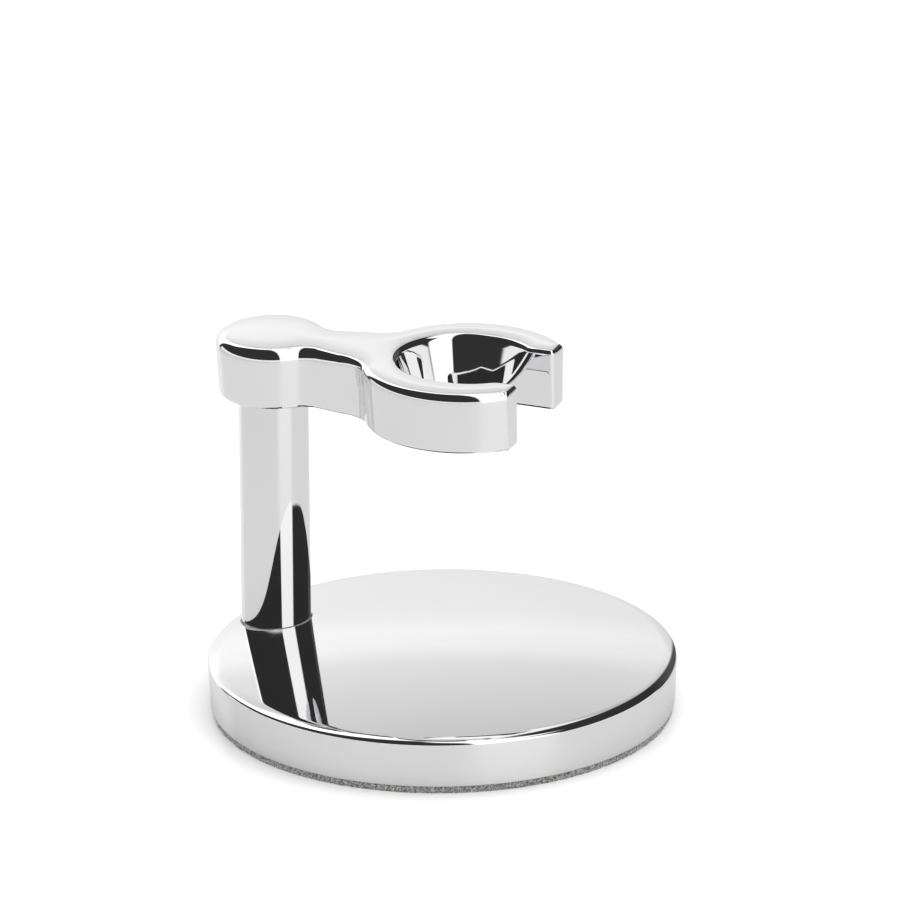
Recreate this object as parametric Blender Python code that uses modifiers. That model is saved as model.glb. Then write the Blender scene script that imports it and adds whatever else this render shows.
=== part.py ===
"""Razor stand: a heavy domed base on felt, a plain column near its edge and a cast arm with an open ring.

The pieces are screwed together and nothing moves in use. The origin is the centre of the felt's
underside, +Z is up, and +X points from the column towards the middle of the base. Sizes are in
millimetres and are turned into metres where a mesh is made.
"""

import math

import bmesh
import bpy

MM = 0.001
GAP = 0.3  # left between pieces that touch

# Base and felt
FELT_THICKNESS = 1.0
FELT_RADIUS = 31.8
BASE_RADIUS = 32.5
BASE_FOOT_RADIUS = 32.2
BASE_APEX = 9.6
DOME_RADIUS = 300.0
SHOULDER_RADIUS = 5.0  # soft shoulder between the dome and the rim's tighter corner
CORNER_SLOPE = math.radians(24)  # where the corner takes over from the shoulder
CORNER_RADIUS = 0.5
FOOT_CHAMFER = 0.3

# Column
COLUMN_OFFSET = 26.2  # from the middle of the base
COLUMN_RADIUS = 4.86
COLUMN_FOOT = 8.6
COLUMN_EDGE = 0.25
SEAT_RADIUS = 5.5
SEAT_FLOOR = 7.6
GASKET_RADIUS = 5.2
GASKET_THICKNESS = 0.4

# Arm, in its own frame: x runs from the column's axis towards the ring
ARM_TOP = 51.2
ARM_THICKNESS = 8.87
ARM_SWING = math.radians(6.1)  # how far the arm points off the middle of the base
ARM_DRAFT = 0.4  # how much narrower the outer side is at its foot
ARM_TOP_ROUND = 1.2
SLOT_TOP_ROUND = 0.6  # width of the same rounding in the slot and the pocket
ARM_BOTTOM_ROUND = 0.5
ARM_ROUND_STEPS = 4
BOSS_RADIUS = 7.93
NECK_HALF_WIDTH = 5.6
BOSS_FILLET = 4.7
RING_FILLET = 5.6
RING_CENTRE = 28.9
RING_RADIUS = 14.6
POCKET_INNER = 28.0  # centres of the oblong, tapered pocket's two round ends
POCKET_OUTER = 29.8
POCKET_TOP_RADIUS = 8.95
POCKET_FOOT_RADIUS = 6.55
POCKET_TAPER = math.radians(18.5)
SLOT_HALF_WIDTH = 6.5
SLOT_MOUTH_ROUND = 3.0
PRONG_END = 39.15
PRONG_OUTER_ROUND = 1.5
PRONG_INNER_ROUND = 0.9

# Fasteners: an M4 low-head cap screw with its spring washer, and an M5 stud
SCREW_RADIUS = 2.0
SCREW_HEAD_RADIUS = 3.5
SCREW_HEAD_HEIGHT = 2.8
SCREW_HEAD_CHAMFER = 0.3
SCREW_LENGTH = 12.0
SCREW_SOCKET = 2.5  # across the flats
SCREW_SOCKET_DEPTH = 1.5
THREAD_CHAMFER = 0.5  # at the screw's tip and both ends of the stud
COUNTERBORE_RADIUS = 4.1
COUNTERBORE_TOP = 6.0
WASHER_RADIUS = 3.4
WASHER_THICKNESS = 1.2
WASHER_SPLIT = math.radians(14)
COLUMN_SCREW_DEPTH = 9.5
STUD_RADIUS = 2.5
STUD_LENGTH = 12.0
STUD_SOCKET = 2.5
STUD_SOCKET_DEPTH = 2.5
STUD_IN_ARM = 5.0
COLUMN_STUD_DEPTH = 8.0
ARM_STUD_DEPTH = 5.6

TURN_STEPS = 80
SMALL_TURN_STEPS = 32
ARC_STEP = math.radians(8)
DOME_STEPS = 7
SHOULDER_STEPS = 4
CORNER_STEPS = 4
SHARP_ANGLE = math.radians(30)
SAME_POINT = 0.02  # points of an outline that are closer are one
CUTTER_REACH = 1.0  # how far a cutter stands out of what it cuts

CHROME = ("chrome", (0.78, 0.78, 0.79), 1.0, 0.04)
FELT = ("grey_felt", (0.32, 0.31, 0.30), 0.0, 0.95)
STEEL = ("zinc_steel", (0.60, 0.60, 0.58), 1.0, 0.32)
CLEAR_PLASTIC = ("clear_plastic", (0.62, 0.62, 0.60), 0.0, 0.35)


def clear_scene():
    for obj in list(bpy.data.objects):
        bpy.data.objects.remove(obj, do_unlink=True)


def new_collection(name):
    collection = bpy.data.collections.new(name)
    bpy.context.scene.collection.children.link(collection)
    return collection


def make_material(look):
    name, colour, metallic, roughness = look
    material = bpy.data.materials.get(name) or bpy.data.materials.new(name)
    material.use_nodes = True
    shader = material.node_tree.nodes["Principled BSDF"]
    shader.inputs["Base Color"].default_value = (*colour, 1.0)
    shader.inputs["Metallic"].default_value = metallic
    shader.inputs["Roughness"].default_value = roughness
    return material


def add_object(name, mesh, collection, look=None):
    obj = bpy.data.objects.new(name, mesh)
    collection.objects.link(obj)
    if look:
        mesh.materials.append(make_material(look))
    mesh.shade_smooth()
    mesh.set_sharp_from_angle(angle=SHARP_ANGLE)
    return obj


def arc(centre, radius, start, end):
    """Points along an arc of angles start to end, ends included."""
    count = max(2, math.ceil(abs(end - start) / ARC_STEP))
    angles = [start + (end - start) * i / count for i in range(count + 1)]
    return [(centre[0] + radius * math.cos(a), centre[1] + radius * math.sin(a)) for a in angles]


def turned(name, profile, collection, look=None, steps=TURN_STEPS, closed=False):
    """A solid of revolution about Z. The profile of (radius, height) runs down the outer side."""
    mesh = bpy.data.meshes.new(name)
    points = [(radius * MM, 0.0, height * MM) for radius, height in profile]
    edges = [(i, i + 1) for i in range(len(points) - 1)]
    if closed:
        edges.append((len(points) - 1, 0))
    mesh.from_pydata(points, edges, [])
    obj = add_object(name, mesh, collection, look)
    screw = obj.modifiers.new("turn", "SCREW")
    screw.axis = "Z"
    screw.steps = steps
    screw.render_steps = steps
    screw.use_merge_vertices = True
    screw.merge_threshold = 0.00001
    screw.use_smooth_shade = True
    return obj


def cut(obj, cutter):
    cutter.hide_render = True
    cutter.display_type = "WIRE"
    modifier = obj.modifiers.new("cut " + cutter.name, "BOOLEAN")
    modifier.operation = "DIFFERENCE"
    modifier.object = cutter


def plug(name, steps, cutters):
    """A cutter of stacked cylinders. steps lists (radius, top, bottom) from the top down."""
    profile = [(0.0, steps[0][1])]
    for radius, top, bottom in steps:
        profile += [(radius, top), (radius, bottom)]
    profile.append((0.0, steps[-1][2]))
    return turned(name, profile, cutters, steps=SMALL_TURN_STEPS)


def hex_socket(name, across_flats, height, cutters):
    bpy.ops.mesh.primitive_cylinder_add(
        vertices=6, radius=across_flats / math.sqrt(3) * MM, depth=height * MM, end_fill_type="NGON"
    )
    socket = bpy.context.object
    socket.name = name
    for collection in list(socket.users_collection):
        collection.objects.unlink(socket)
    cutters.objects.link(socket)
    return socket


def base_top():
    """(radius, height) over the dome, its soft shoulder and the rim's tight corner, down to the wall."""
    corner = BASE_RADIUS - CORNER_RADIUS
    corner_start = corner + CORNER_RADIUS * math.sin(CORNER_SLOPE)
    # The dome ends at the slope from which the shoulder meets the corner with no kink
    reach = corner_start - SHOULDER_RADIUS * math.sin(CORNER_SLOPE)
    slope = math.asin(reach / (DOME_RADIUS - SHOULDER_RADIUS))
    profile = []
    for i in range(DOME_STEPS + 1):
        angle = slope * i / DOME_STEPS
        profile.append((DOME_RADIUS * math.sin(angle), BASE_APEX - DOME_RADIUS * (1 - math.cos(angle))))
    profile += rolled(profile[-1], SHOULDER_RADIUS, slope, CORNER_SLOPE, SHOULDER_STEPS)
    profile += rolled(profile[-1], CORNER_RADIUS, CORNER_SLOPE, math.pi / 2, CORNER_STEPS)
    return profile


def rolled(start, radius, low, high, steps):
    """The rest of a convex arc that leaves a (radius, height) point at slope low and ends at slope high."""
    points = []
    for i in range(1, steps + 1):
        angle = low + (high - low) * i / steps
        out = radius * (math.sin(angle) - math.sin(low))
        down = radius * (math.cos(low) - math.cos(angle))
        points.append((start[0] + out, start[1] - down))
    return points


def make_felt_pad(parts):
    profile = [
        (0.0, FELT_THICKNESS - GAP),
        (FELT_RADIUS, FELT_THICKNESS - GAP),
        (FELT_RADIUS, 0.0),
        (0.0, 0.0),
    ]
    return turned("felt_pad", profile, parts, FELT)


def make_base(parts, cutters):
    foot = [
        (BASE_FOOT_RADIUS, FELT_THICKNESS + FOOT_CHAMFER),
        (BASE_FOOT_RADIUS - FOOT_CHAMFER, FELT_THICKNESS),
        (0.0, FELT_THICKNESS),
    ]
    base = turned("base", base_top() + foot, parts, CHROME)
    seat = plug(
        "column_seat",
        [
            (SEAT_RADIUS, BASE_APEX + CUTTER_REACH, SEAT_FLOOR),
            (SCREW_RADIUS + GAP, SEAT_FLOOR, COUNTERBORE_TOP),
            (COUNTERBORE_RADIUS, COUNTERBORE_TOP, FELT_THICKNESS - CUTTER_REACH),
        ],
        cutters,
    )
    seat.location.x = -COLUMN_OFFSET * MM
    cut(base, seat)
    return base


def make_column_gasket(parts):
    low = SEAT_FLOOR + GAP
    high = low + GASKET_THICKNESS
    bore = SCREW_RADIUS + GAP
    profile = [(bore, high), (GASKET_RADIUS, high), (GASKET_RADIUS, low), (bore, low)]
    return turned("column_gasket", profile, parts, CLEAR_PLASTIC, closed=True)


def make_column(parts, cutters):
    top = ARM_TOP - ARM_THICKNESS - GAP
    profile = [
        (0.0, top),
        (COLUMN_RADIUS - COLUMN_EDGE, top),
        (COLUMN_RADIUS, top - COLUMN_EDGE),
        (COLUMN_RADIUS, COLUMN_FOOT + COLUMN_EDGE),
        (COLUMN_RADIUS - COLUMN_EDGE, COLUMN_FOOT),
        (0.0, COLUMN_FOOT),
    ]
    column = turned("column", profile, parts, CHROME)
    screw_bore = plug(
        "column_screw_bore",
        [(SCREW_RADIUS + GAP, COLUMN_FOOT + COLUMN_SCREW_DEPTH, COLUMN_FOOT - CUTTER_REACH)],
        cutters,
    )
    stud_bore = plug(
        "column_stud_bore",
        [(STUD_RADIUS + GAP, top + CUTTER_REACH, top - COLUMN_STUD_DEPTH)],
        cutters,
    )
    for bore in (screw_bore, stud_bore):
        bore.location.x = -COLUMN_OFFSET * MM
        cut(column, bore)
    return column


def make_foot_screw(parts, cutters):
    head_top = COUNTERBORE_TOP - GAP - WASHER_THICKNESS - GAP
    head_bottom = head_top - SCREW_HEAD_HEIGHT
    tip = head_top + SCREW_LENGTH
    profile = [
        (0.0, tip),
        (SCREW_RADIUS - THREAD_CHAMFER, tip),
        (SCREW_RADIUS, tip - THREAD_CHAMFER),
        (SCREW_RADIUS, head_top),
        (SCREW_HEAD_RADIUS, head_top),
        (SCREW_HEAD_RADIUS, head_bottom + SCREW_HEAD_CHAMFER),
        (SCREW_HEAD_RADIUS - SCREW_HEAD_CHAMFER, head_bottom),
        (0.0, head_bottom),
    ]
    screw = turned("foot_screw", profile, parts, STEEL, SMALL_TURN_STEPS)
    socket = hex_socket("foot_screw_socket", SCREW_SOCKET, 2 * SCREW_SOCKET_DEPTH, cutters)
    socket.location = (-COLUMN_OFFSET * MM, 0.0, head_bottom * MM)
    cut(screw, socket)
    return screw


def make_lock_washer(parts):
    """A split spring washer: a C-shaped outline given its thickness."""
    top = COUNTERBORE_TOP - GAP
    half_split = WASHER_SPLIT / 2
    outer = arc((0, 0), WASHER_RADIUS, half_split, 2 * math.pi - half_split)
    inner = arc((0, 0), SCREW_RADIUS + GAP, 2 * math.pi - half_split, half_split)
    rows = [[(x, y, z) for x, y in outer + inner] for z in (top, top - WASHER_THICKNESS)]
    return add_object("lock_washer", lofted("lock_washer", rows), parts, STEEL)


def make_arm_stud(parts, cutters):
    top = ARM_TOP - ARM_THICKNESS + STUD_IN_ARM
    bottom = top - STUD_LENGTH
    profile = [
        (0.0, top),
        (STUD_RADIUS - THREAD_CHAMFER, top),
        (STUD_RADIUS, top - THREAD_CHAMFER),
        (STUD_RADIUS, bottom + THREAD_CHAMFER),
        (STUD_RADIUS - THREAD_CHAMFER, bottom),
        (0.0, bottom),
    ]
    stud = turned("arm_stud", profile, parts, STEEL, SMALL_TURN_STEPS)
    socket = hex_socket("arm_stud_socket", STUD_SOCKET, 2 * STUD_SOCKET_DEPTH, cutters)
    socket.location = (-COLUMN_OFFSET * MM, 0.0, top * MM)
    cut(stud, socket)
    return stud


def lofted(name, rows):
    """A closed mesh through rows of (x, y, z) points, given from the top down, with flat ends."""
    cage = bmesh.new()
    rings = [[cage.verts.new((x * MM, y * MM, z * MM)) for x, y, z in row] for row in rows]
    count = len(rows[0])
    for upper, lower in zip(rings, rings[1:]):
        for i in range(count):
            j = (i + 1) % count
            cage.faces.new((upper[i], upper[j], lower[j], lower[i]))
    cage.faces.new(rings[0])
    cage.faces.new(rings[-1])
    bmesh.ops.recalc_face_normals(cage, faces=cage.faces)
    mesh = bpy.data.meshes.new(name)
    cage.to_mesh(mesh)
    cage.free()
    return mesh


def fillet_from_circle(centre, radius, line, fillet, side):
    """Angle on a circle where a fillet leaves it for the line y = line, and the fillet's centre."""
    reach = radius + fillet
    height = line + fillet
    x = centre + side * math.sqrt(reach**2 - height**2)
    return math.atan2(height, x - centre), (x, height)


def arm_outline(pocket_radius):
    """The arm's plan: boss, neck, and a ring whose pocket opens into a slot between two prongs.

    It is a list of (point, outward normal, share of the outer side), as long at every pocket radius.
    """
    quarter = math.pi / 2
    boss_angle, boss_fillet = fillet_from_circle(0.0, BOSS_RADIUS, NECK_HALF_WIDTH, BOSS_FILLET, 1)
    ring_angle, ring_fillet = fillet_from_circle(
        RING_CENTRE, RING_RADIUS, NECK_HALF_WIDTH, RING_FILLET, -1
    )

    # Outer and inner corners of the prong, and the convex mouth where the slot's wall meets the pocket
    corner_x = PRONG_END - PRONG_OUTER_ROUND
    corner_y = math.sqrt((RING_RADIUS - PRONG_OUTER_ROUND) ** 2 - (corner_x - RING_CENTRE) ** 2)
    corner_angle = math.atan2(corner_y, corner_x - RING_CENTRE)
    tip = (PRONG_END - PRONG_INNER_ROUND, SLOT_HALF_WIDTH + PRONG_INNER_ROUND)
    mouth_y = SLOT_HALF_WIDTH + SLOT_MOUTH_ROUND
    mouth_x = math.sqrt((pocket_radius + SLOT_MOUTH_ROUND) ** 2 - mouth_y**2)
    mouth_angle = math.atan2(mouth_y, mouth_x)
    mouth = (POCKET_OUTER + mouth_x, mouth_y)

    # (centre, radius, start, end, 1 if convex or -1 if hollow, steps, share of the outer side)
    arcs = [
        ((0.0, 0.0), BOSS_RADIUS, math.pi, boss_angle, 1, 20, 1.0),
        (boss_fillet, BOSS_FILLET, boss_angle - math.pi, -quarter, -1, 6, 1.0),
        (ring_fillet, RING_FILLET, -quarter, ring_angle - math.pi, -1, 8, 1.0),
        ((RING_CENTRE, 0.0), RING_RADIUS, ring_angle, corner_angle, 1, 22, 1.0),
        ((corner_x, corner_y), PRONG_OUTER_ROUND, corner_angle, 0.0, 1, 4, 1.0),
        (tip, PRONG_INNER_ROUND, 0.0, -quarter, 1, 4, 0.0),
        (mouth, SLOT_MOUTH_ROUND, -quarter, mouth_angle - math.pi, 1, 8, 0.0),
        ((POCKET_OUTER, 0.0), pocket_radius, mouth_angle, quarter, -1, 8, 0.0),
        ((POCKET_INNER, 0.0), pocket_radius, quarter, math.pi, -1, 16, 0.0),
    ]
    half = []
    for centre, radius, start, end, side, steps, share in arcs:
        for i in range(steps + 1):
            angle = start + (end - start) * i / steps
            way = (math.cos(angle), math.sin(angle))
            point = (centre[0] + radius * way[0], centre[1] + radius * way[1])
            if not half or math.dist(point, half[-1][0]) > SAME_POINT:
                half.append((point, (side * way[0], side * way[1]), share))
    mirrored = [((x, -y), (nx, -ny), share) for (x, y), (nx, ny), share in reversed(half)]
    # The boss's and the pocket's end points lie on the axis, so each is kept once
    return half + mirrored[1:-1]


def arm_row(height, outer_inset, inner_inset):
    """The arm's outline at a height, drawn in at the outer and the inner sides, and by the outer draft."""
    depth = ARM_TOP - height
    pocket_radius = max(POCKET_TOP_RADIUS - depth * math.tan(POCKET_TAPER), POCKET_FOOT_RADIUS)
    draft = ARM_DRAFT * depth / ARM_THICKNESS
    row = []
    for (x, y), (nx, ny), share in arm_outline(pocket_radius):
        reach = (outer_inset + draft) * share + inner_inset * (1 - share)
        row.append((x - nx * reach, y - ny * reach, height))
    return row


def arm_rows():
    """Rows of points round the arm, from its rounded top edge down to its rounded foot."""
    bottom = ARM_TOP - ARM_THICKNESS
    turns = [math.pi / 2 * i / ARM_ROUND_STEPS for i in range(ARM_ROUND_STEPS + 1)]
    rows = []
    for angle in turns:
        drop = ARM_TOP_ROUND * (1 - math.cos(angle))
        left = 1 - math.sin(angle)
        rows.append(arm_row(ARM_TOP - drop, ARM_TOP_ROUND * left, SLOT_TOP_ROUND * left))
    pocket_foot = ARM_TOP - (POCKET_TOP_RADIUS - POCKET_FOOT_RADIUS) / math.tan(POCKET_TAPER)
    rows.append(arm_row(pocket_foot, 0.0, 0.0))
    for angle in turns:
        rise = ARM_BOTTOM_ROUND * (1 - math.sin(angle))
        inset = ARM_BOTTOM_ROUND * (1 - math.cos(angle))
        rows.append(arm_row(bottom + rise, inset, inset))
    return rows


def make_arm(parts, cutters):
    bottom = ARM_TOP - ARM_THICKNESS
    arm = add_object("arm", lofted("arm", arm_rows()), parts, CHROME)
    arm.rotation_euler.z = ARM_SWING
    bore = plug(
        "arm_stud_bore",
        [(STUD_RADIUS + GAP, bottom + ARM_STUD_DEPTH, bottom - CUTTER_REACH)],
        cutters,
    )
    bore.location.x = -COLUMN_OFFSET * MM
    cut(arm, bore)
    return arm


def main():
    clear_scene()
    parts = new_collection("razor_stand")
    cutters = new_collection("cutters")
    make_felt_pad(parts)
    make_base(parts, cutters)
    on_column_axis = (
        make_column_gasket(parts),
        make_column(parts, cutters),
        make_foot_screw(parts, cutters),
        make_lock_washer(parts),
        make_arm_stud(parts, cutters),
        make_arm(parts, cutters),
    )
    for piece in on_column_axis:
        piece.location.x = -COLUMN_OFFSET * MM


main()
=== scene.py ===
"""Looks of the razor stand: fine chrome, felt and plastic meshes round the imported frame, in a white studio.

Sizes are in millimetres, as in the CAD model, and are turned into metres where a mesh is made. Heights and
radii come from the frame's boxes. Each piece has its own function, and so has each material.
"""

import math
from functools import cache

import bmesh
import bpy
import numpy as np
from mathutils import Matrix, Vector, noise
from mathutils.geometry import delaunay_2d_cdt


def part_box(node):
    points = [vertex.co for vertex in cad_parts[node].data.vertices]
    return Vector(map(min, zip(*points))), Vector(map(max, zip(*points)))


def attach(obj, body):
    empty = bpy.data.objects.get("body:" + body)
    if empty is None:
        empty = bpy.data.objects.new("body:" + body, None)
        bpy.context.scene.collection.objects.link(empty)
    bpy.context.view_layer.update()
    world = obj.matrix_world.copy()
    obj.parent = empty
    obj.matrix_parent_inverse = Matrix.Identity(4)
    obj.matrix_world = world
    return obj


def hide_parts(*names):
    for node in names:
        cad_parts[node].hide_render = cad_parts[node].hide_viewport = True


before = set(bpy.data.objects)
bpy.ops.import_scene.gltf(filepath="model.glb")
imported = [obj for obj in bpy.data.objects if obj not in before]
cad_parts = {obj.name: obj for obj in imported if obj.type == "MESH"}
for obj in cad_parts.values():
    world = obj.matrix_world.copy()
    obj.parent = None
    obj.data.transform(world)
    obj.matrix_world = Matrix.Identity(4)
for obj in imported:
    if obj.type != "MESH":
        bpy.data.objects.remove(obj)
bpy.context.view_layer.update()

MM = 0.001


def node_box(node):
    """Lowest and highest corners of a CAD node, in millimetres."""
    low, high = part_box(node)
    return low / MM, high / MM


FELT_LOW, FELT_HIGH = node_box("felt_pad")
BASE_LOW, BASE_HIGH = node_box("base")
COLUMN_LOW, COLUMN_HIGH = node_box("column")
ARM_LOW, ARM_HIGH = node_box("arm")
GASKET_LOW, _ = node_box("column_gasket")

ARM_TOP = ARM_HIGH.z
ARM_BOTTOM = ARM_LOW.z

# Base
BASE_RADIUS = (BASE_HIGH.x - BASE_LOW.x) / 2
BASE_FOOT = BASE_LOW.z
BASE_APEX = BASE_HIGH.z
FOOT_DRAW = 0.3  # how much narrower the wall is at its foot
FOOT_ROUND = 0.25
DOME_RADIUS = 300.0
SHOULDER_RADIUS = 5.0  # soft shoulder between the dome and the rim's tighter corner
CORNER_SLOPE = math.radians(24)  # where the corner takes over from the shoulder
CORNER_RADIUS = 0.5
DOME_STEPS = 64
SHOULDER_STEPS = 24
CORNER_STEPS = 16
TANGENT_ROUNDS = 50  # of the search for the slope where the dome ends
FOOT_STEPS = 6
BASE_SIDES = 360
SEAT_RADIUS = 5.04
SEAT_FLOOR = 7.6
SCREW_BORE_RADIUS = 2.3
COUNTERBORE_RADIUS = 4.1
COUNTERBORE_TOP = 6.0
CUTTER_REACH = 1.0  # how far a cutter sticks out of the face it opens
BORE_SIDES = 96

# Felt
FELT_TOP = BASE_FOOT - 0.02
FELT_RADIUS = (FELT_HIGH.x - FELT_LOW.x) / 2
FELT_SIDES = 1080
FELT_LAYERS = 8
FELT_BULGE = 0.1
# Unevenness of the felt's edge: each is (depth, waves per millimetre, offset in the noise)
FELT_WAVES = ((0.11, 1.3, (0, 0, 0)), (0.1, 4.1, (7, 3, 1)))
FELT_FACE_SHARE = 0.9  # where the flat faces' middle begins

# Column
COLUMN_AXIS = Vector(((COLUMN_LOW.x + COLUMN_HIGH.x) / 2, (COLUMN_LOW.y + COLUMN_HIGH.y) / 2, 0.0))
COLUMN_RADIUS = (COLUMN_HIGH.x - COLUMN_LOW.x) / 2
COLUMN_EDGE = 0.2
COLUMN_SIDES = 192
COLUMN_TOP = ARM_BOTTOM - 0.02
COLUMN_FOOT = COLUMN_LOW.z - 0.2

# Gasket: its lip fills the seat round the column's foot and follows the dome
GASKET_INNER = COLUMN_RADIUS + 0.03
GASKET_OUTER = SEAT_RADIUS - 0.03
GASKET_FLOOR = GASKET_LOW.z
GASKET_SHELF = COLUMN_LOW.z - 0.25  # the part under the column's foot
GASKET_SIDES = 144
LIP_STEPS = 8
LIP_CROWN = 0.05
# Uneven width and height of the squeezed lip: (size, waves, offset in the noise)
LIP_WANDER = (0.05, 6, 0.3)
LIP_LIFT = (0.03, 0.9, 1.7)

# Arm, in its own frame: x runs from the column's axis towards the ring
ARM_SWING = math.radians(6.1)
ARM_DRAFT = 0.4
CREASE = math.radians(18)  # slope at which the edge's rounding starts from the ground top
BOSS_TOP_ROUND = 1.8
RING_TOP_ROUND = 1.25
INNER_ROUND = 0.7
BOTTOM_ROUND = 0.5
SHOULDER_DROP = 0.17  # soft fall of the polished top towards its edges
SHOULDER_REACH = 2.2
BOSS_RADIUS = 7.93
NECK_BOSS_HALF_WIDTH = 4.8  # the neck is a little wider where it meets the ring
NECK_HALF_WIDTH = 5.6
BOSS_FILLET = 4.0
RING_FILLET = 5.6
RING_CENTRE = 28.9
RING_RADIUS = 14.6
POCKET_INNER = 28.0  # centres of the oblong pocket's two round ends
POCKET_OUTER = 29.8
POCKET_TOP_RADIUS = 8.95
POCKET_TAPER = math.radians(18.5)
SLOT_HALF_WIDTH = 6.5
SLOT_MOUTH_ROUND = 3.0
PRONG_END = 39.35
PRONG_ROUND = 1.1
TIP_ROUND = 0.9
SAME_POINT = 0.01  # arcs whose ends are this close need no straight stretch between them
PRONG_FACE_SHARE = 0.2  # how much of the outer side's rounding and draft the prong's end face has
SLOT_CLEARANCE = 0.05  # the pocket's foot stays this much wider than the slot
STRAIGHT_STEPS = 16
TOP_ROUND_ROWS = 14
WALL_ROWS = 14
BOTTOM_ROUND_ROWS = 7
TOP_SPACING = 0.6  # of the grid that carries the top face
ARC_STEP = 0.3  # radians, on the column's small edges

# Height of the waves that polishing leaves in the chrome, in metres
TURNED_WAVES = 0.000004
CAST_WAVES = 0.000012

# Camera: a long lens, a little above the stand, turned off the line from the column to the ring
CAMERA_AZIMUTH = math.radians(28.5)
CAMERA_PITCH = 0.37323
CAMERA_ROLL = 0.0102
CAMERA_AIM = Vector((-4.54, 11.754, BASE_FOOT + 31.91))
CAMERA_DISTANCE = 2773.46
CAMERA_SENSOR = 36.0
CAMERA_LENS = 796.46

# Studio, as the chrome mirrors it: brightness, with the plain white of the background at about 1
SWEEP_LEVELS = (  # (elevation in degrees, brightness) of the lit sweep behind the stand
    (0, 0.90),
    (10, 0.96),
    (14, 0.98),
    (17, 1.00),
    (20, 1.10),
    (22.5, 1.07),
    (25, 0.90),
    (29, 0.81),
    (36, 0.66),
    (39, 0.70),
    (43, 1.30),
    (90, 1.30),
)
SWEEP_SLOPE = -0.012  # share of its brightness that the sweep gains for each degree to the right
SWEEP_SIDES = 1.0  # least brightness high up at the sweep's sides
PANEL_LEVEL = 0.10
CARD_LEVEL = 1.35
PAPER_LEVEL = 1.04
ROOM_LEVEL = 0.035
PLAIN_LEVEL = 0.95  # what the camera and diffuse light see

# Soft edges in the studio, each as (where it starts to show, where it is full). They are in degrees, apart
# from SWEEP_NEAR, CARD_LEFT and CARD_FAR, which are parts of a direction of length 1
SWEEP_LEFT = (-50, -44)
SWEEP_RIGHT = (16, 13)
SWEEP_NEAR = (0.42, 0.47)
SIDES_INNER = (13, 26)
SIDES_FOOT = (22, 25)
PANEL_LEFT = (13, 16)
PANEL_RIGHT = (44, 40)
PANEL_TOP = (40, 20)
CARD_TURN = 0.21  # how far round to the right of the camera the card's left edge is
CARD_LEFT = (0.02, 0.07)
CARD_FAR = (0.5, 0.45)
CARD_FOOT = (-3, 0)
CARD_RIGHT = (61, 56)
OVERHEAD_FOOT = (60, 66)
PAPER_RISE = 1.2  # degrees that the paper's edge is higher in front than at the sides
PAPER_TOP = (11.2, 10.0)
PAPER_FAR = (128, 122)

FLOOR_HALF_SIDE = 3.0  # metres, as are the lamp's sizes
LAMP_PLACE = Vector((0.2, 0.0, 1.1))
LAMP_SIZE = 1.6
LAMP_WATTS = 9.0


# ---------------------------------------------------------------- shapes


def link(name, mesh, material, slot, *nodes):
    """Adds a mesh as a piece of the stand that stands for the named CAD nodes."""
    obj = bpy.data.objects.new(name, mesh)
    bpy.context.scene.collection.objects.link(obj)
    mesh.materials.clear()
    mesh.materials.append(material)
    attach(obj, "root")
    if nodes:
        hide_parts(*nodes)
    return obj


def finished(cage, name):
    """The cage as a mesh with its normals outwards."""
    bmesh.ops.recalc_face_normals(cage, faces=cage.faces)
    mesh = bpy.data.meshes.new(name)
    cage.to_mesh(mesh)
    cage.free()
    return mesh


def band(cage, lower, upper):
    """Faces between two closed rings of as many vertices."""
    for i in range(len(lower)):
        j = (i + 1) % len(lower)
        cage.faces.new((lower[i], lower[j], upper[j], upper[i]))


def arc(centre, radius, start, end):
    """Points along an arc of angles start to end, ends included."""
    count = math.ceil(abs(end - start) / ARC_STEP)
    angles = [start + (end - start) * i / count for i in range(count + 1)]
    return [(centre[0] + radius * math.cos(a), centre[1] + radius * math.sin(a)) for a in angles]


def turned(name, profile, steps):
    """A closed solid of revolution about Z from (radius, height) points that start and end on the axis."""
    cage = bmesh.new()
    start = cage.verts.new((0.0, 0.0, profile[0][1] * MM))
    end = cage.verts.new((0.0, 0.0, profile[-1][1] * MM))
    rings = []
    for radius, height in profile[1:-1]:
        angles = [2 * math.pi * i / steps for i in range(steps)]
        points = [(radius * math.cos(a) * MM, radius * math.sin(a) * MM, height * MM) for a in angles]
        rings.append([cage.verts.new(point) for point in points])
    for i in range(steps):
        j = (i + 1) % steps
        cage.faces.new((start, rings[0][i], rings[0][j]))
        cage.faces.new((end, rings[-1][j], rings[-1][i]))
    for upper, lower in zip(rings, rings[1:]):
        band(cage, lower, upper)
    return finished(cage, name)


def smooth(mesh, angle=30):
    """Shades the mesh smooth, with edges sharper than the angle left sharp."""
    mesh.shade_smooth()
    mesh.set_sharp_from_angle(angle=math.radians(angle))
    return mesh


def bored(mesh, cutter):
    """The mesh with the cutter's shape taken out of it, both in the stand's frame."""
    body = bpy.data.objects.new("bored_body", mesh)
    tool = bpy.data.objects.new("bored_tool", cutter)
    for obj in (body, tool):
        bpy.context.scene.collection.objects.link(obj)
    modifier = body.modifiers.new("bore", "BOOLEAN")
    modifier.operation = "DIFFERENCE"
    modifier.object = tool
    graph = bpy.context.evaluated_depsgraph_get()
    result = bpy.data.meshes.new_from_object(body.evaluated_get(graph))
    result.name = mesh.name
    for obj in (body, tool):
        bpy.data.objects.remove(obj, do_unlink=True)
    return result


def dome_height(slope):
    """Height of the dome where it slopes by this angle."""
    return BASE_APEX - DOME_RADIUS * (1 - math.cos(slope))


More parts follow.
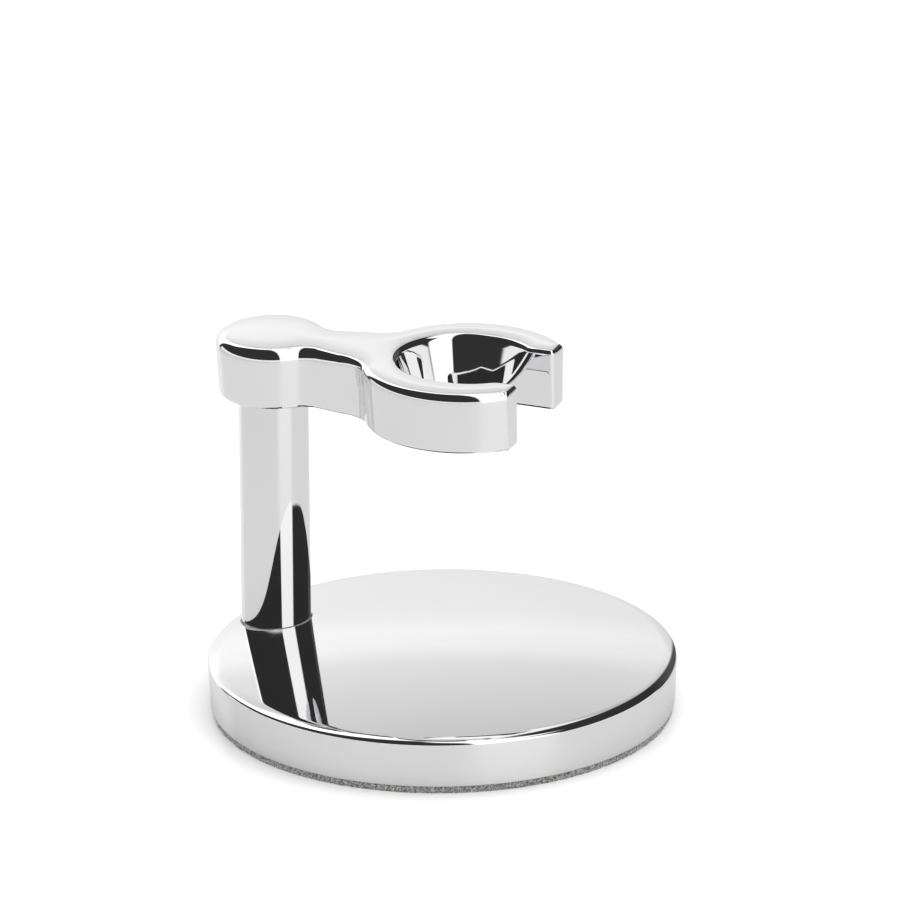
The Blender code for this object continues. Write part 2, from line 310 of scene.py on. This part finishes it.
@cache
def rim_profile():
    """(radius, height) points from the dome's middle over its shoulder and corner to the top of the wall."""
    corner = BASE_RADIUS - CORNER_RADIUS
    shoulder_end = corner + CORNER_RADIUS * math.sin(CORNER_SLOPE)
    # The dome ends at the slope that lets the shoulder reach the corner with no kink
    slope = CORNER_SLOPE
    for _ in range(TANGENT_ROUNDS):
        start = shoulder_end - SHOULDER_RADIUS * (math.sin(CORNER_SLOPE) - math.sin(slope))
        slope = math.asin(start / DOME_RADIUS)
    slopes = [slope * i / DOME_STEPS for i in range(DOME_STEPS + 1)]
    top = [(DOME_RADIUS * math.sin(a), dome_height(a)) for a in slopes]
    radius, height = top[-1]
    for i in range(1, SHOULDER_STEPS + 1):
        angle = slope + (CORNER_SLOPE - slope) * i / SHOULDER_STEPS
        out = radius + SHOULDER_RADIUS * (math.sin(angle) - math.sin(slope))
        top.append((out, height - SHOULDER_RADIUS * (math.cos(slope) - math.cos(angle))))
    height = top[-1][1]
    for i in range(1, CORNER_STEPS + 1):
        angle = CORNER_SLOPE + (math.pi / 2 - CORNER_SLOPE) * i / CORNER_STEPS
        out = corner + CORNER_RADIUS * math.sin(angle)
        top.append((out, height - CORNER_RADIUS * (math.cos(CORNER_SLOPE) - math.cos(angle))))
    return top


def top_height(radius):
    """Height of the base's top at a distance from its middle."""
    radii, heights = zip(*rim_profile())
    return float(np.interp(radius, radii, heights))


def make_base(chrome):
    """A domed disc with a rolled foot, bored for the column's foot and its screw."""
    foot = []
    for i in range(FOOT_STEPS + 1):
        angle = math.pi / 2 * i / FOOT_STEPS
        radius = BASE_RADIUS - FOOT_DRAW - FOOT_ROUND * (1 - math.cos(angle))
        foot.append((radius, BASE_FOOT + FOOT_ROUND * (1 - math.sin(angle))))
    mesh = turned("base_body", rim_profile() + foot + [(0.0, BASE_FOOT)], BASE_SIDES)
    cutter = turned(
        "seat_cutter",
        [
            (0.0, BASE_APEX + CUTTER_REACH),
            (SEAT_RADIUS, BASE_APEX + CUTTER_REACH),
            (SEAT_RADIUS, SEAT_FLOOR),
            (SCREW_BORE_RADIUS, SEAT_FLOOR),
            (SCREW_BORE_RADIUS, COUNTERBORE_TOP),
            (COUNTERBORE_RADIUS, COUNTERBORE_TOP),
            (COUNTERBORE_RADIUS, BASE_FOOT - CUTTER_REACH),
            (0.0, BASE_FOOT - CUTTER_REACH),
        ],
        BORE_SIDES,
    )
    cutter.transform(Matrix.Translation(COLUMN_AXIS * MM))
    return link("base_body", smooth(bored(mesh, cutter)), chrome, "chrome", "base")


def make_column(chrome):
    """A plain round column with broken edges."""
    edge = COLUMN_RADIUS - COLUMN_EDGE
    profile = [(0.0, COLUMN_FOOT), (edge, COLUMN_FOOT)]
    profile += arc((edge, COLUMN_FOOT + COLUMN_EDGE), COLUMN_EDGE, -math.pi / 2, 0.0)
    profile += arc((edge, COLUMN_TOP - COLUMN_EDGE), COLUMN_EDGE, 0.0, math.pi / 2)
    profile += [(0.0, COLUMN_TOP)]
    mesh = turned("column_tube", profile, COLUMN_SIDES)
    mesh.transform(Matrix.Translation(COLUMN_AXIS * MM))
    return link("column_tube", smooth(mesh), chrome, "chrome", "column")


def gasket_point(angle, radius, crown):
    """A point of the gasket's lip, crown above the dome, wandering a little as a squeezed edge does."""
    size, waves, offset = LIP_WANDER
    wander = size * noise.noise(Vector((math.cos(angle), math.sin(angle), offset)) * waves)
    spread = max(radius + wander, GASKET_INNER)
    x = COLUMN_AXIS.x + spread * math.cos(angle)
    y = COLUMN_AXIS.y + spread * math.sin(angle)
    size, waves, offset = LIP_LIFT
    lift = size * noise.noise(Vector((x, y, offset)) * waves)
    return Vector((x, y, top_height(math.hypot(x, y)) + crown + lift))


def make_gasket(plastic):
    """A thin milky washer whose squeezed lip follows the dome round the column's foot."""
    angles = [2 * math.pi * i / GASKET_SIDES for i in range(GASKET_SIDES)]

    def flat_ring(radius, height):
        return [COLUMN_AXIS + Vector((radius * math.cos(a), radius * math.sin(a), height)) for a in angles]

    rows = [
        flat_ring(SCREW_BORE_RADIUS, GASKET_FLOOR),
        flat_ring(SCREW_BORE_RADIUS, GASKET_SHELF),
        flat_ring(GASKET_INNER, GASKET_SHELF),
    ]
    for i in range(LIP_STEPS + 1):
        share = i / LIP_STEPS
        radius = GASKET_INNER + (GASKET_OUTER - GASKET_INNER) * share
        crown = LIP_CROWN * math.sin(math.pi * share)
        rows.append([gasket_point(a, radius, crown) for a in angles])
    rows.append(flat_ring(GASKET_OUTER, GASKET_FLOOR))

    cage = bmesh.new()
    rings = [[cage.verts.new(point * MM) for point in row] for row in rows]
    for lower, upper in zip(rings, rings[1:] + rings[:1]):
        band(cage, lower, upper)
    mesh = smooth(finished(cage, "gasket_ring"), angle=50)
    return link("gasket_ring", mesh, plastic, "gasket", "column_gasket")


def fillet_from_circle(centre, radius, line, fillet, side):
    """Angle on a circle where a fillet leaves it for the line y = line, and the fillet's centre."""
    reach = radius + fillet
    height = line + fillet
    x = centre + side * math.sqrt(reach**2 - height**2)
    return math.atan2(height, x - centre), (x, height)


def arm_arcs(pocket):
    """The arcs of half the arm's plan at a level where the pocket has this radius.

    Each arc is (centre, radius, start, end, side, steps, outer share at its start and at its end). Side 1
    bulges outwards and -1 is hollow. The outer share is 1 on the outer wall, and 0 in the pocket and slot.
    """
    boss_angle, boss_fillet = fillet_from_circle(0.0, BOSS_RADIUS, NECK_BOSS_HALF_WIDTH, BOSS_FILLET, 1)
    ring_angle, ring_fillet = fillet_from_circle(RING_CENTRE, RING_RADIUS, NECK_HALF_WIDTH, RING_FILLET, -1)
    corner_x = PRONG_END - PRONG_ROUND
    corner_y = math.sqrt((RING_RADIUS - PRONG_ROUND) ** 2 - (corner_x - RING_CENTRE) ** 2)
    corner_angle = math.atan2(corner_y, corner_x - RING_CENTRE)
    tip = (PRONG_END - TIP_ROUND, SLOT_HALF_WIDTH + TIP_ROUND)
    mouth_y = SLOT_HALF_WIDTH + SLOT_MOUTH_ROUND
    mouth_x = math.sqrt((pocket + SLOT_MOUTH_ROUND) ** 2 - mouth_y**2)
    mouth = (POCKET_OUTER + mouth_x, mouth_y)
    mouth_angle = math.atan2(mouth_y, mouth_x)
    quarter = math.pi / 2
    return [
        ((0.0, 0.0), BOSS_RADIUS, math.pi, boss_angle, 1, 64, 1, 1),
        (boss_fillet, BOSS_FILLET, boss_angle - math.pi, -quarter, -1, 20, 1, 1),
        (ring_fillet, RING_FILLET, -quarter, ring_angle - math.pi, -1, 24, 1, 1),
        ((RING_CENTRE, 0.0), RING_RADIUS, ring_angle, corner_angle, 1, 80, 1, 1),
        ((corner_x, corner_y), PRONG_ROUND, corner_angle, 0.0, 1, 20, 1, PRONG_FACE_SHARE),
        (tip, TIP_ROUND, 0.0, -quarter, 1, 16, 0, 0),
        (mouth, SLOT_MOUTH_ROUND, -quarter, mouth_angle - math.pi, 1, 32, 0, 0),
        ((POCKET_OUTER, 0.0), pocket, mouth_angle, quarter, -1, 40, 0, 0),
        ((POCKET_INNER, 0.0), pocket, quarter, math.pi, -1, 64, 0, 0),
    ]


def arm_outline(pocket):
    """The arm's plan at a level, as (point, outward normal, outer share). It always has as many points."""
    half = []
    for centre, radius, start, end, side, steps, outer, last_outer in arm_arcs(pocket):
        turn = [start + (end - start) * i / steps for i in range(steps + 1)]
        normals = [(side * math.cos(a), side * math.sin(a)) for a in turn]
        points = [(centre[0] + radius * math.cos(a), centre[1] + radius * math.sin(a)) for a in turn]
        if half and math.dist(half[-1][0], points[0]) > SAME_POINT:
            # A straight stretch leads from the last arc to this one
            last, normal, last_share = half[-1]
            for i in range(1, STRAIGHT_STEPS):
                t = i / STRAIGHT_STEPS
                between = tuple(a + (b - a) * t for a, b in zip(last, points[0]))
                half.append((between, normal, last_share + (outer - last_share) * t))
            half.append((points[0], normals[0], outer))
        elif not half:
            half.append((points[0], normals[0], outer))
        shares = [outer + (last_outer - outer) * i / steps for i in range(1, steps + 1)]
        half += list(zip(points[1:], normals[1:], shares))
    mirrored = [((x, -y), (nx, -ny), outer) for (x, y), (nx, ny), outer in reversed(half)]
    return half + mirrored[1:-1]


def shoulder(distance):
    """How far the polished top has fallen at a distance inside the outline."""
    return SHOULDER_DROP * np.exp(-np.asarray(distance) / SHOULDER_REACH)


def pocket_radius(height):
    """The pocket is a cone that narrows to the slot's width, and then a plain bore."""
    depth = ARM_TOP - height
    return max(POCKET_TOP_RADIUS - depth * math.tan(POCKET_TAPER), SLOT_HALF_WIDTH + SLOT_CLEARANCE)


def edge_radius(x, outer):
    """Radius of the top edge's rounding: larger round the boss, smaller on the ring and in the pocket."""
    share = min(1.0, max(0.0, (x - BOSS_RADIUS) / (RING_CENTRE - RING_RADIUS - BOSS_RADIUS)))
    outside = BOSS_TOP_ROUND + (RING_TOP_ROUND - BOSS_TOP_ROUND) * share * share * (3 - 2 * share)
    return outside * outer + INNER_ROUND * (1 - outer)


def arm_row(inset, height):
    """The arm's outline as (x, y, z) points.

    inset and height are functions of a place's top rounding and of its outer share.
    """
    top_outline = arm_outline(POCKET_TOP_RADIUS - INNER_ROUND)
    places = [(edge_radius(x, outer), outer) for (x, _), _, outer in top_outline]
    outlines = {}
    row = []
    for index, (rounding, share) in enumerate(places):
        z = height(rounding, share)
        if z not in outlines:
            outlines[z] = arm_outline(pocket_radius(z))
        (x, y), (nx, ny), outer = outlines[z][index]
        depth = inset(edge_radius(x, outer), outer)
        row.append((x - nx * depth, y - ny * depth, z))
    return row


def arm_rows():
    """Rows of (x, y, z) points from the inner end of the top's rounding down to the underside."""
    rows = []
    edge_top = ARM_TOP - SHOULDER_DROP
    wall_foot = ARM_BOTTOM + BOTTOM_ROUND
    for i in range(TOP_ROUND_ROWS + 1):
        angle = CREASE + (math.pi / 2 - CREASE) * i / TOP_ROUND_ROWS
        rows.append(
            arm_row(
                lambda rounding, outer: rounding * (1 - math.sin(angle)),
                lambda rounding, outer: edge_top - rounding * (math.cos(CREASE) - math.cos(angle)),
            )
        )
    for i in range(1, WALL_ROWS + 1):
        t = i / WALL_ROWS
        rows.append(
            arm_row(
                lambda rounding, outer: ARM_DRAFT * t * outer,
                lambda rounding, outer: (edge_top - rounding * math.cos(CREASE)) * (1 - t) + wall_foot * t,
            )
        )
    for i in range(1, BOTTOM_ROUND_ROWS + 1):
        angle = math.pi / 2 * i / BOTTOM_ROUND_ROWS
        rows.append(
            arm_row(
                lambda rounding, outer: ARM_DRAFT * outer + BOTTOM_ROUND * (1 - math.cos(angle)),
                lambda rounding, outer: wall_foot - BOTTOM_ROUND * math.sin(angle),
            )
        )
    return rows


def distance_to(points, outline):
    """Distance of each point from the closed outline."""
    starts = np.array(outline)
    spans = np.roll(starts, -1, axis=0) - starts
    best = np.full(len(points), np.inf)
    for start, span in zip(starts, spans):
        along = np.clip((points - start) @ span / max(span @ span, 1e-12), 0, 1)
        best = np.minimum(best, np.linalg.norm(points - start - along[:, None] * span, axis=1))
    return best


def inside(points, outline):
    """Which points lie inside the closed outline."""
    result = np.zeros(len(points), bool)
    x, y = points[:, 0], points[:, 1]
    for (x0, y0), (x1, y1) in zip(outline, outline[1:] + outline[:1]):
        if y0 != y1:
            crosses = (y0 > y) != (y1 > y)
            result ^= crosses & (x < (x1 - x0) * (y - y0) / (y1 - y0) + x0)
    return result


def cap(cage, ring, border, height):
    """Fills a ring with a fine triangle grid, where height gives z from the distance to the border."""
    low, high = np.min(border, axis=0), np.max(border, axis=0)
    columns = np.arange(low[0], high[0], TOP_SPACING)
    rows = np.arange(low[1], high[1], TOP_SPACING * math.sqrt(3) / 2)
    grid = np.array([(x + TOP_SPACING / 2 * (j % 2), y) for j, y in enumerate(rows) for x in columns])
    grid = grid[inside(grid, border)]
    grid = grid[distance_to(grid, border) > TOP_SPACING / 2]
    heights = height(distance_to(grid, border))
    count = len(border)
    points = [Vector(p) for p in border] + [Vector(p) for p in grid]
    edges = [(i, (i + 1) % count) for i in range(count)]
    found, _, faces, sources, _, _ = delaunay_2d_cdt(points, edges, [list(range(count))], 1, 1e-7)
    verts = []
    for place, source in zip(found, sources):
        if source and source[0] < count:
            verts.append(ring[source[0]])
        else:
            z = float(heights[source[0] - count])
            verts.append(cage.verts.new((place.x * MM, place.y * MM, z * MM)))
    for face in faces:
        cage.faces.new([verts[i] for i in face])


def make_arm(chrome):
    """The cast head: its rounded walls from row to row, closed by the polished top and the flat underside."""
    rows = arm_rows()
    cage = bmesh.new()
    rings = [[cage.verts.new((x * MM, y * MM, z * MM)) for x, y, z in row] for row in rows]
    for upper, lower in zip(rings, rings[1:]):
        band(cage, upper, lower)
    top = [(x, y) for x, y, _ in rows[0]]
    underside = [(x, y) for x, y, _ in rows[-1]]
    cap(cage, rings[0], top, lambda d: ARM_TOP - shoulder(d))
    cap(cage, rings[-1], underside, lambda d: np.full(len(d), ARM_BOTTOM))
    mesh = finished(cage, "arm_body")
    mesh.transform(Matrix.Translation(COLUMN_AXIS * MM) @ Matrix.Rotation(ARM_SWING, 4, "Z"))
    return link("arm_body", smooth(mesh, angle=40), chrome, "chrome", "arm")


def felt_edge(angle, share):
    """A point of the felt's uneven edge; share runs from 0 at the table to 1 at the base."""
    height = FELT_TOP * share
    place = Vector((FELT_RADIUS * math.cos(angle), FELT_RADIUS * math.sin(angle), height))
    spread = FELT_RADIUS + FELT_BULGE * math.sin(math.pi * share)
    for depth, frequency, offset in FELT_WAVES:
        spread += depth * noise.noise(place * frequency + Vector(offset))
    return Vector((spread * math.cos(angle), spread * math.sin(angle), height))


def make_felt(felt):
    """A pressed felt disc with an uneven, fibrous edge."""
    cage = bmesh.new()
    rings = []
    for k in range(FELT_LAYERS + 1):
        points = [felt_edge(2 * math.pi * i / FELT_SIDES, k / FELT_LAYERS) for i in range(FELT_SIDES)]
        rings.append([cage.verts.new(point * MM) for point in points])
    for lower, upper in zip(rings, rings[1:]):
        band(cage, lower, upper)
    inwards = Vector((FELT_FACE_SHARE, FELT_FACE_SHARE, 1.0))
    for ring, height in ((rings[0], 0.0), (rings[-1], FELT_TOP)):
        middle = cage.verts.new((0.0, 0.0, height * MM))
        inner = [cage.verts.new(vert.co * inwards) for vert in ring]
        band(cage, ring, inner)
        for i in range(FELT_SIDES):
            cage.faces.new((inner[i], inner[(i + 1) % FELT_SIDES], middle))
    mesh = smooth(finished(cage, "felt_disc"), angle=60)
    return link("felt_disc", mesh, felt, "felt", "felt_pad")


# ---------------------------------------------------------------- materials


def new_material(name):
    """A material with its node tree and its shader node."""
    material = bpy.data.materials.new(name)
    material.use_nodes = True
    tree = material.node_tree
    return material, tree, tree.nodes["Principled BSDF"]


def add_node(tree, kind, settings=(), **inputs):
    """A node with its settings and its inputs, whose names have _ for a space."""
    node = tree.nodes.new(kind)
    for name, value in dict(settings).items():
        setattr(node, name, value)
    for name, value in inputs.items():
        node.inputs[name.replace("_", " ")].default_value = value
    return node


def object_noise(tree, scale, detail=3.0, roughness=0.5):
    """Noise fixed to the object's own space; scale is in features per metre."""
    coords = tree.nodes.new("ShaderNodeTexCoord")
    texture = add_node(tree, "ShaderNodeTexNoise", Scale=scale, Detail=detail, Roughness=roughness)
    tree.links.new(coords.outputs["Object"], texture.inputs["Vector"])
    return texture.outputs["Fac"]


def mapped(tree, value, low, high, start=0.3, end=0.7):
    """low to high as the value goes from start to end."""
    node = add_node(tree, "ShaderNodeMapRange", From_Min=start, From_Max=end, To_Min=low, To_Max=high)
    tree.links.new(value, node.inputs["Value"])
    return node.outputs["Result"]


def bumped(tree, value, distance):
    """A normal for bumps as high as the distance, in metres, where the value is 1."""
    node = add_node(tree, "ShaderNodeBump", Strength=1.0, Distance=distance)
    tree.links.new(value, node.inputs["Height"])
    return node.outputs["Normal"]


def blended(tree, value, low, high):
    """A colour between low and high as the value goes from 0 to 1."""
    node = tree.nodes.new("ShaderNodeMix")
    node.data_type = "RGBA"
    tree.links.new(value, node.inputs["Factor"])
    node.inputs["A"].default_value = (*low, 1.0)
    node.inputs["B"].default_value = (*high, 1.0)
    return node.outputs["Result"]


def chrome_material(name, waviness):
    """Bright plating with a faint haze that varies, and the slow waves of hand polishing."""
    material, tree, shader = new_material(name)
    shader.inputs["Metallic"].default_value = 1.0
    patches = mapped(tree, object_noise(tree, 60), 0, 1)
    tint = blended(tree, patches, (0.785, 0.785, 0.795), (0.81, 0.81, 0.815))
    tree.links.new(tint, shader.inputs["Base Color"])
    haze = mapped(tree, object_noise(tree, 900, 5.0, 0.6), 0.012, 0.05)
    tree.links.new(haze, shader.inputs["Roughness"])
    tree.links.new(bumped(tree, object_noise(tree, 110, 1.0), waviness), shader.inputs["Normal"])
    return material


def felt_material():
    """Grey pressed felt of dark and light fibres."""
    material, tree, shader = new_material("pressed_felt")
    fibres = object_noise(tree, 3600, 6.0, 0.8)
    strands = mapped(tree, fibres, 0, 1, 0.42, 0.62)
    colour = blended(tree, strands, (0.05, 0.047, 0.043), (0.70, 0.68, 0.64))
    tree.links.new(colour, shader.inputs["Base Color"])
    shader.inputs["Roughness"].default_value = 1.0
    shader.inputs["Sheen Weight"].default_value = 0.3
    tree.links.new(bumped(tree, fibres, 0.0001), shader.inputs["Normal"])
    return material


def plastic_material():
    """Milky plastic, cloudy and half matt."""
    material, tree, shader = new_material("milky_plastic")
    cloud = object_noise(tree, 1500, 4.0)
    colour = blended(tree, mapped(tree, cloud, 0, 1), (0.18, 0.18, 0.19), (0.55, 0.55, 0.55))
    tree.links.new(colour, shader.inputs["Base Color"])
    tree.links.new(mapped(tree, cloud, 0.25, 0.5), shader.inputs["Roughness"])
    tree.links.new(bumped(tree, cloud, 0.00005), shader.inputs["Normal"])
    return material


def steel_material():
    """Zinc plating: mottled and a little dull."""
    material, tree, shader = new_material("zinc_plate")
    shader.inputs["Metallic"].default_value = 1.0
    mottle = object_noise(tree, 1200, 5.0, 0.6)
    colour = blended(tree, mapped(tree, mottle, 0, 1), (0.46, 0.47, 0.48), (0.66, 0.66, 0.64))
    tree.links.new(colour, shader.inputs["Base Color"])
    tree.links.new(mapped(tree, mottle, 0.25, 0.42), shader.inputs["Roughness"])
    tree.links.new(bumped(tree, mottle, 0.00002), shader.inputs["Normal"])
    return material


# ---------------------------------------------------------------- studio and camera


class Wire:
    """A number in a node tree, so that a formula can be written as one."""

    def __init__(self, tree, socket):
        self.tree = tree
        self.socket = socket

    def math(self, operation, other=None):
        node = self.tree.nodes.new("ShaderNodeMath")
        node.operation = operation
        for index, value in enumerate((self, other)):
            if isinstance(value, Wire):
                self.tree.links.new(value.socket, node.inputs[index])
            elif value is not None:
                node.inputs[index].default_value = value
        return Wire(self.tree, node.outputs[0])

    def __add__(self, other):
        return self.math("ADD", other)

    def __mul__(self, other):
        return self.math("MULTIPLY", other)

    def absolute(self):
        return self.math("ABSOLUTE")

    def larger(self, other):
        return self.math("MAXIMUM", other)

    def step(self, low, high):
        """0 below low, 1 above high, smooth between them; high may be below low."""
        node = self.tree.nodes.new("ShaderNodeMapRange")
        node.interpolation_type = "SMOOTHSTEP"
        rising = low < high
        self.tree.links.new(self.socket, node.inputs["Value"])
        node.inputs["From Min"].default_value = low if rising else high
        node.inputs["From Max"].default_value = high if rising else low
        node.inputs["To Min"].default_value = 0.0 if rising else 1.0
        node.inputs["To Max"].default_value = 1.0 if rising else 0.0
        return Wire(self.tree, node.outputs["Result"])


def sweep_brightness(tree, elevation, behind):
    """How bright the sweep behind the stand is: it varies with elevation, and is brighter to the left."""
    heights = tree.nodes.new("ShaderNodeFloatCurve")
    tree.links.new((elevation * (1 / 90)).socket, heights.inputs["Value"])
    curve = heights.mapping.curves[0]
    while len(curve.points) < len(SWEEP_LEVELS):
        curve.points.new(0.5, 0.5)
    for point, (angle, level) in zip(curve.points, SWEEP_LEVELS):
        # The curve's own range is 0 to 1, so it holds half the brightness
        point.location = (angle / 90, level / 2)
        point.handle_type = "VECTOR"
    heights.mapping.update()
    sides = behind.absolute().step(*SIDES_INNER) * elevation.step(*SIDES_FOOT) * SWEEP_SIDES
    level = (Wire(tree, heights.outputs["Value"]) * 2.0).larger(sides)
    return level * (behind * SWEEP_SLOPE + 1.0)


def studio_glow(tree):
    """Brightness of the studio in each direction, as the chrome mirrors it."""
    coords = tree.nodes.new("ShaderNodeTexCoord")
    turn = add_node(tree, "ShaderNodeVectorRotate", {"rotation_type": "Z_AXIS"}, Angle=-CAMERA_AZIMUTH)
    tree.links.new(coords.outputs["Generated"], turn.inputs["Vector"])
    split = tree.nodes.new("ShaderNodeSeparateXYZ")
    tree.links.new(turn.outputs["Vector"], split.inputs["Vector"])
    right, away, up = (Wire(tree, split.outputs[axis]) for axis in "XYZ")

    # Azimuth from the camera, azimuth from straight behind the stand (both positive to the right) and
    # elevation, in degrees
    azimuth = right.math("ARCTAN2", away * -1.0) * math.degrees(1)
    behind = right.math("ARCTAN2", away) * math.degrees(1)
    elevation = up.math("ARCSINE") * math.degrees(1)

    # Behind: a lit sweep, and to its right a dim panel
    sweep = behind.step(*SWEEP_LEFT) * behind.step(*SWEEP_RIGHT) * away.step(*SWEEP_NEAR)
    sweep = sweep * sweep_brightness(tree, elevation, behind)
    panel = behind.step(*PANEL_LEFT) * behind.step(*PANEL_RIGHT) * elevation.step(*PANEL_TOP)

    # In front: a tall white card right of the camera, which reaches further to the right overhead
    card = (right + away * CARD_TURN).step(*CARD_LEFT) * away.step(*CARD_FAR) * elevation.step(*CARD_FOOT)
    card = card * azimuth.step(*CARD_RIGHT).larger(elevation.step(*OVERHEAD_FOOT))

    # The paper runs up in front of the stand, so that the dark room starts some way above the horizon
    paper = (elevation + away * PAPER_RISE).step(*PAPER_TOP) * azimuth.absolute().step(*PAPER_FAR)

    lit = sweep.larger(panel * PANEL_LEVEL).larger(card * CARD_LEVEL).larger(paper * PAPER_LEVEL)
    return lit.larger(ROOM_LEVEL)


def make_world():
    """A white studio that the chrome mirrors, while the camera and diffuse light see plain white."""
    world = bpy.data.worlds.new("studio")
    bpy.context.scene.world = world
    world.use_nodes = True
    tree = world.node_tree
    studio = tree.nodes["Background"]
    studio.inputs["Color"].default_value = (1.0, 1.0, 1.0, 1.0)
    tree.links.new(studio_glow(tree).socket, studio.inputs["Strength"])
    plain = add_node(tree, "ShaderNodeBackground", Strength=PLAIN_LEVEL, Color=(1.0, 1.0, 1.0, 1.0))
    path = tree.nodes.new("ShaderNodeLightPath")
    camera_ray, diffuse_ray = (Wire(tree, path.outputs[name]) for name in ("Is Camera Ray", "Is Diffuse Ray"))
    choose = tree.nodes.new("ShaderNodeMixShader")
    tree.links.new(camera_ray.larger(diffuse_ray).socket, choose.inputs["Fac"])
    tree.links.new(studio.outputs["Background"], choose.inputs[1])
    tree.links.new(plain.outputs["Background"], choose.inputs[2])
    tree.links.new(choose.outputs["Shader"], tree.nodes["World Output"].inputs["Surface"])


def make_floor():
    """White paper, a little glossy, and darker where the chrome mirrors it than to the camera."""
    mesh = bpy.data.meshes.new("studio_floor")
    cage = bmesh.new()
    bmesh.ops.create_grid(cage, x_segments=40, y_segments=40, size=FLOOR_HALF_SIDE)
    cage.to_mesh(mesh)
    cage.free()
    floor = bpy.data.objects.new("studio_floor", mesh)
    bpy.context.scene.collection.objects.link(floor)
    material, tree, shader = new_material("white_paper")
    grain = object_noise(tree, 400, 4.0)
    paper = blended(tree, grain, (0.645, 0.645, 0.645), (0.67, 0.67, 0.67))
    bright = blended(tree, grain, (0.93, 0.93, 0.93), (0.96, 0.96, 0.96))
    path = tree.nodes.new("ShaderNodeLightPath")
    seen = tree.nodes.new("ShaderNodeMix")
    seen.data_type = "RGBA"
    tree.links.new(path.outputs["Is Camera Ray"], seen.inputs["Factor"])
    tree.links.new(paper, seen.inputs["A"])
    tree.links.new(bright, seen.inputs["B"])
    tree.links.new(seen.outputs["Result"], shader.inputs["Base Color"])
    shader.inputs["Roughness"].default_value = 0.35
    mesh.materials.append(material)


def make_lamp():
    """Soft light on the floor from above, which the chrome doesn't mirror: the world is what it mirrors."""
    light = bpy.data.lights.new("soft_top", "AREA")
    light.shape = "DISK"
    light.size = LAMP_SIZE
    light.energy = LAMP_WATTS
    lamp = bpy.data.objects.new("soft_top", light)
    bpy.context.scene.collection.objects.link(lamp)
    lamp.location = LAMP_PLACE
    base_middle = Vector((0.0, 0.0, BASE_FOOT * MM))
    lamp.rotation_euler = (base_middle - LAMP_PLACE).to_track_quat("-Z", "Y").to_euler()
    lamp.visible_glossy = False
    lamp.visible_camera = False


def make_camera():
    """A camera that looks at its aim from its distance, turned, pitched and rolled as its angles say."""
    ahead = Vector((-math.sin(CAMERA_AZIMUTH), math.cos(CAMERA_AZIMUTH), 0.0))
    level = Vector((math.cos(CAMERA_AZIMUTH), math.sin(CAMERA_AZIMUTH), 0.0))
    back = -ahead * math.cos(CAMERA_PITCH) + Vector((0.0, 0.0, math.sin(CAMERA_PITCH)))
    above = back.cross(level)
    x_axis = level * math.cos(CAMERA_ROLL) - above * math.sin(CAMERA_ROLL)
    y_axis = level * math.sin(CAMERA_ROLL) + above * math.cos(CAMERA_ROLL)
    place = (CAMERA_AIM + back * CAMERA_DISTANCE) * MM

    data = bpy.data.cameras.new("camera")
    data.sensor_width = CAMERA_SENSOR
    data.lens = CAMERA_LENS
    data.clip_start = 0.1
    data.clip_end = 20.0
    camera = bpy.data.objects.new("camera", data)
    bpy.context.scene.collection.objects.link(camera)
    axes = Matrix((x_axis, y_axis, back)).transposed().to_4x4()
    camera.matrix_world = Matrix.Translation(place) @ axes
    bpy.context.scene.camera = camera


def main():
    make_camera()
    make_world()
    make_floor()
    make_lamp()
    view = bpy.context.scene.view_settings
    view.view_transform = "Standard"
    view.look = "None"
    turned_chrome = chrome_material("chrome_turned", TURNED_WAVES)
    cast_chrome = chrome_material("chrome_cast", CAST_WAVES)
    make_felt(felt_material())
    make_base(turned_chrome)
    make_gasket(plastic_material())
    make_column(turned_chrome)
    make_arm(cast_chrome)
    steel = steel_material()
    for node in ("foot_screw", "lock_washer", "arm_stud"):
        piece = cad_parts[node]
        piece.data.materials.clear()
        piece.data.materials.append(steel)


main()
